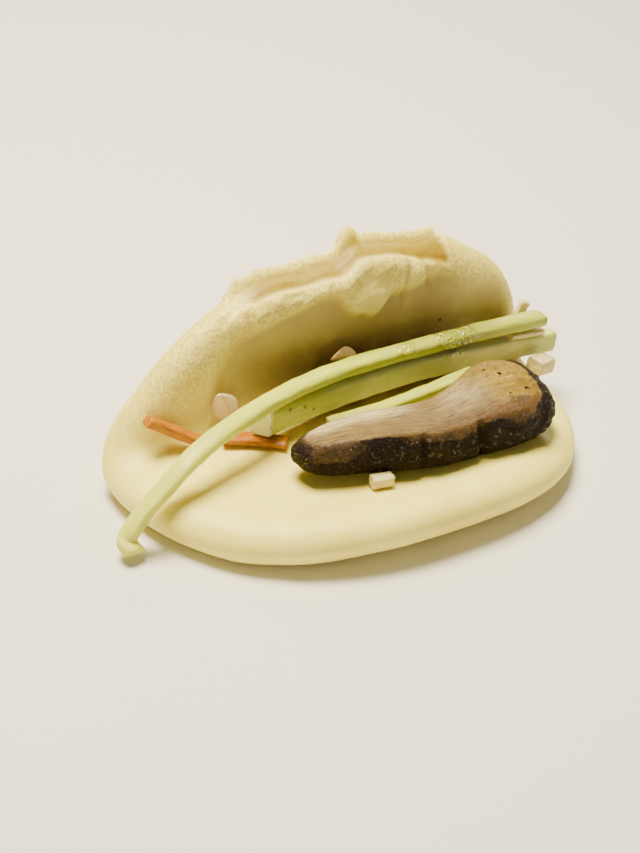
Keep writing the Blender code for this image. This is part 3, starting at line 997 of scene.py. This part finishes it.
# %% [markdown]
# ### Shallot
#
# A chopped shallot falls apart into short curved petals, one layer thick. A petal is a flattened ball,
# narrowed at one end and bent into a shallow gutter, as each layer was bent round the next. The skin side is
# flushed pink, and fine veins run from end to end.

# %% Make the shallot petals
PETAL_VEIN_MM = 0.5
FLUSH_MM = 4.0


def shallot_petal():
    material, tree, shader = new_material(
        "raw shallot",
        Roughness=0.28,
        IOR=1.36,
        Coat_Weight=0.4,
        Coat_Roughness=0.1,
        Subsurface_Weight=0.4,
        Subsurface_Radius=(1.0, 0.6, 0.5),
        Subsurface_Scale=2.0 * MM,
    )
    place = attribute(tree, "place", "Vector")
    veins = noise_of(tree, place, PETAL_VEIN_MM, 2.0, 0.5, stretch=(0.08, 1, 0.3))
    flush = noise_of(tree, place, FLUSH_MM, 2.0, 0.5)
    colour = mix_colour(tree, ramp(tree, veins, 0.4, 0.65), "#DCC8A4", "#EFE4C4")
    colour = mix_colour(tree, ramp(tree, flush, 0.4, 0.7, 0.0, 0.4), colour, "#D8B29A")
    colour = mix_colour(tree, attribute(tree, "sauce"), colour, "#9A7A38")
    tree.links.new(colour, shader.inputs["Base Color"])
    bump(tree, shader, [(veins, 0.1)])
    return material


def make_petal(name, node_name, centre, size, turns, sauce, material):
    """turns are the angles about X, Y and Z that lay the petal down. sauce is how stained it is."""
    length, width, thickness = size
    bm = ball(64, 32)
    notes = {"place": [], "sauce": [sauce] * len(bm.verts)}
    for vert in bm.verts:
        along, across, height = vert.co
        across *= 1 - 0.45 * smooth(along, -0.2, 1.0)
        x, y = along * length / 2, across * width / 2
        z = height * thickness / 2 + 0.22 * y * y / max(width / 4, 1) - 0.03 * x * x
        notes["place"].append(Vector((x, y, z)))
        vert.co = Vector((x, y, z + 0.12 * lumps(x * 0.3, y, z, 1.5)))
    for degrees, axis in zip(turns, "XYZ"):
        turn = Matrix.Rotation(math.radians(degrees), 3, axis)
        bmesh.ops.rotate(bm, cent=(0, 0, 0), matrix=turn, verts=bm.verts)
    bmesh.ops.translate(bm, vec=centre, verts=bm.verts)
    finish_piece(name, bm, notes, material, node_name)


shallot = shallot_petal()
# Each petal: its name, the solid it stands for, its middle, its size, its turns and its stain.
PETALS = (
    ("left_petal", "shallot_left", (-30.4, -1.4, 18.4), (10.4, 6.4, 2.4), (80, -63, 180), 0.0),
    ("back_petal", "shallot_back", (2.7, 0.6, 22.5), (7.5, 5.0, 1.8), (80, -10, 180), 0.9),
    ("right_petal", "shallot_right", (50.0, -9.8, 12.3), (6.0, 4.0, 2.2), (0, -10, 20), 0.1),
)
for name, node_name, centre, size, turns, sauce in PETALS:
    make_petal(name, node_name, centre, size, turns, sauce, shallot)

# %% [markdown]
# ## Floor and light
#
# A pale matt floor and four soft panels of light. A warm one overhead and a little behind, as over a
# counter, brightens the tops and leaves the inside of the fold in shade. One at the back right lights the
# rims, and two weak ones keep the shade from going black.

# %% The floor and the studio lights
BUN_MIDDLE = Vector((0, 0, 0.02))
FLOOR_HALF_WIDTH = 1.5


def make_floor():
    bm = bmesh.new()
    bmesh.ops.create_grid(bm, x_segments=1, y_segments=1, size=FLOOR_HALF_WIDTH)
    mesh = bpy.data.meshes.new("floor")
    bm.to_mesh(mesh)
    bm.free()
    material, tree, shader = new_material("pale floor", Roughness=0.8)
    shader.inputs["Base Color"].default_value = linear("#E4E1DA")
    mesh.materials.append(material)
    floor = bpy.data.objects.new("floor", mesh)
    bpy.context.scene.collection.objects.link(floor)


def make_panel(name, place, size, power, colour):
    """A square light that faces the bun. place and size are in metres."""
    lamp = bpy.data.lights.new(name, "AREA")
    lamp.size = size
    lamp.energy = power
    lamp.color = linear(colour)[:3]
    panel = bpy.data.objects.new(name, lamp)
    bpy.context.scene.collection.objects.link(panel)
    panel.location = place
    panel.rotation_euler = (BUN_MIDDLE - Vector(place)).to_track_quat("-Z", "Y").to_euler()


make_floor()
make_panel("overhead panel", (-0.08, 0.16, 0.62), 0.28, 16.0, "#FFF2CE")
make_panel("back right panel", (0.42, 0.48, 0.40), 0.20, 2.0, "#FFF5DF")
make_panel("front panel", (-0.55, -0.45, 0.35), 0.6, 1.0, "#FFF4DC")
make_panel("right panel", (0.55, -0.30, 0.35), 0.5, 0.6, "#FFF4DC")
world = bpy.data.worlds.new("room")
bpy.context.scene.world = world
world.use_nodes = True
world.node_tree.nodes["Background"].inputs["Color"].default_value = linear("#F2F0E2")
world.node_tree.nodes["Background"].inputs["Strength"].default_value = 0.12
